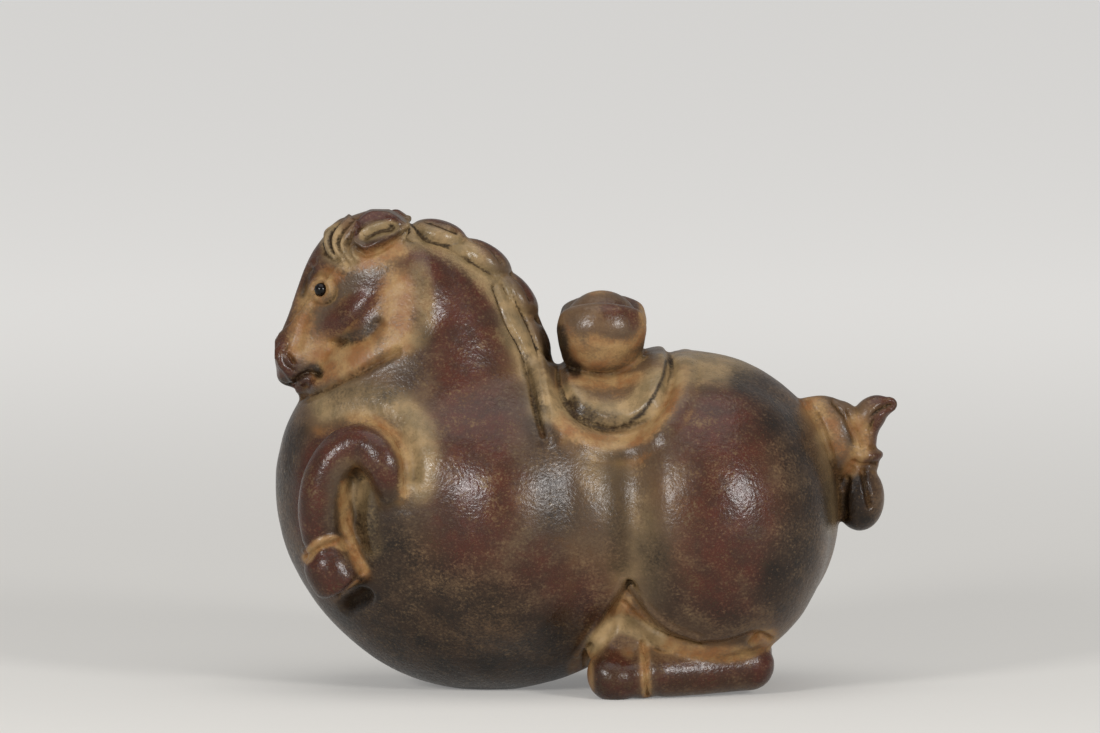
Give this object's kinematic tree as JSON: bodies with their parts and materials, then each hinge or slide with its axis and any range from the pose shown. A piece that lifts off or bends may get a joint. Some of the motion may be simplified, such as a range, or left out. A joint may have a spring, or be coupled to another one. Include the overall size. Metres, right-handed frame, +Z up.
{
  "type": "tea pet",
  "caption": "Hollow clay figurine of a stout kneeling horse with a boat-shaped ingot on its saddle, kept on a tea tray and rinsed with tea.",
  "frame": {"origin": "centre of the bounding box in plan, on the plane that the belly and the hind feet rest on", "axes": "+X from the muzzle to the tail, +Y to the horse's right side, +Z up"},
  "size_m": [0.1112, 0.0599, 0.0857],
  "materials": {
    "clay": "satin, hand-polished, with ochre in the hollows",
    "bead": "gloss black"
  },
  "bodies": {
    "root": {"horse": "clay", "eye_left": "bead", "eye_right": "bead"}
  },
  "joints": []
}
